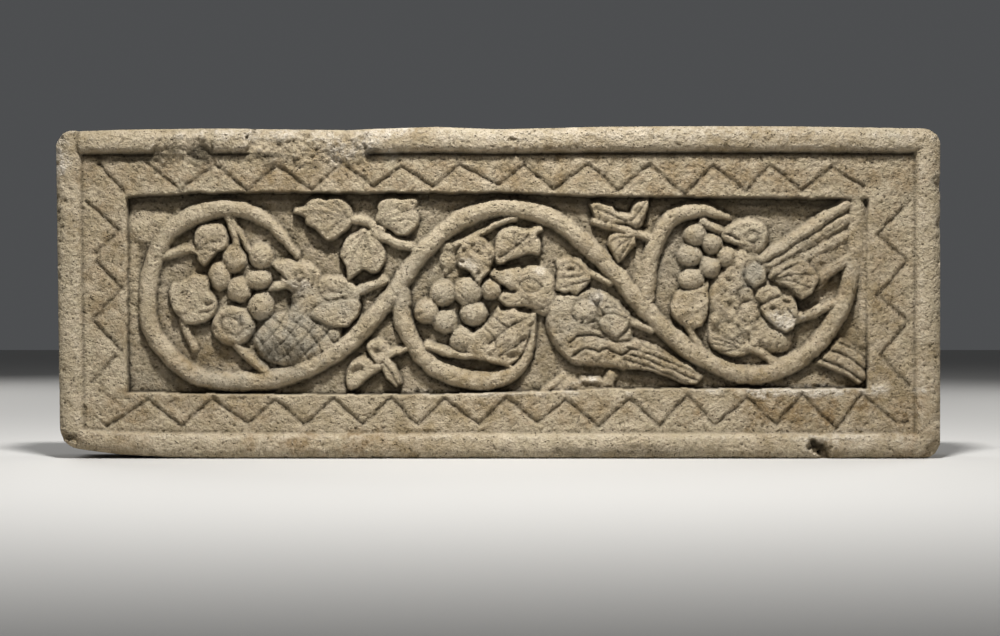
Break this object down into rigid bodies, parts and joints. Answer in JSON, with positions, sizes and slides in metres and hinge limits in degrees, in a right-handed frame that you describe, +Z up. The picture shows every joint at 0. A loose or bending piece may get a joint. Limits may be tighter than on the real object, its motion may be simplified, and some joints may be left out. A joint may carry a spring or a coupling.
{
  "type": "stone relief panel",
  "caption": "Limestone relief panel with a half-round frame, a zigzag border and a sunk field of vine scroll, birds, grapes and leaves.",
  "frame": {"origin": "middle of the underside, on the plane the panel stands on", "axes": "+X along the panel's length to the viewer's right, +Y into the panel's thickness, so the carved face looks towards -Y, +Z up"},
  "size_m": [0.887, 0.095, 0.334],
  "materials": {
    "limestone": "hand carved, weathered and pitted"
  },
  "bodies": {
    "root": {"relief_panel": "limestone"}
  },
  "joints": []
}
